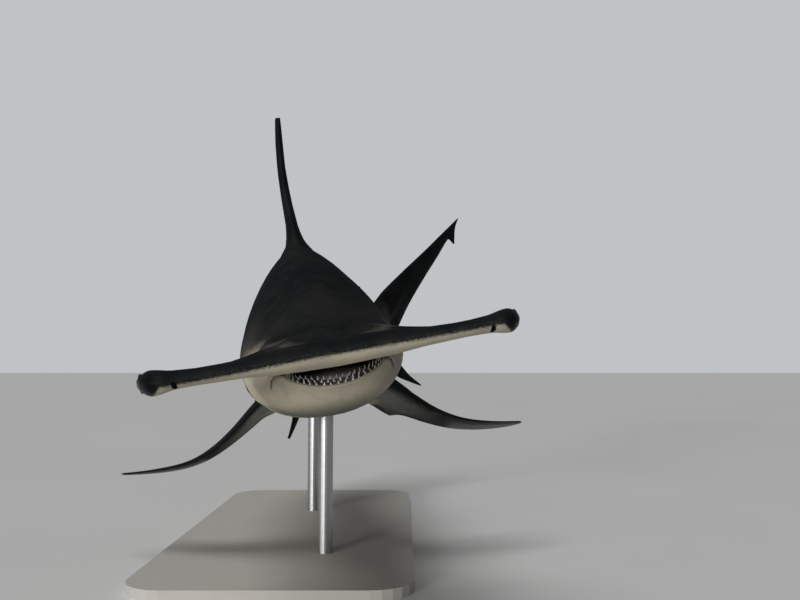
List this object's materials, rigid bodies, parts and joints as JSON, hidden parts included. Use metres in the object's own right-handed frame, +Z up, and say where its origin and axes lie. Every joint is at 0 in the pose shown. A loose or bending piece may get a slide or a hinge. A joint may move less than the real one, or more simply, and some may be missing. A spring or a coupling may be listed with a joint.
{
  "type": "hammerhead shark display model",
  "caption": "Life-size great hammerhead shark in a swimming pose, a still museum-type model held by rods on a plain flat stand.",
  "frame": {"origin": "centre of the underside of the stand's base, on the floor", "axes": "+Z up; the shark's snout points towards -Y, its left side is +X, and the base's long side runs along Y"},
  "size_m": [1.3347, 2.9558, 1.5518],
  "materials": {
    "back_skin": "matt, dark brown-grey skin",
    "belly_skin": "matt, cream skin",
    "fin_skin": "matt, grey skin",
    "eye": "gloss, near black",
    "stand_paint": "matt pale sand-grey paint",
    "stand_steel": "satin"
  },
  "bodies": {
    "root": {"head": "back_skin", "lower_jaw": "belly_skin", "eye_left": "eye", "eye_right": "eye", "gill_region": "back_skin", "trunk": "back_skin", "tail_stem": "back_skin", "caudal_upper_lobe": "back_skin", "caudal_lower_lobe": "back_skin", "first_dorsal_fin": "back_skin", "second_dorsal_fin": "back_skin", "anal_fin": "fin_skin", "pectoral_fin_left": "fin_skin", "pectoral_fin_right": "fin_skin", "pelvic_fin_left": "fin_skin", "pelvic_fin_right": "fin_skin", "stand_base": "stand_paint", "stand_rod_front": "stand_steel", "stand_rod_rear": "stand_steel"}
  },
  "joints": []
}
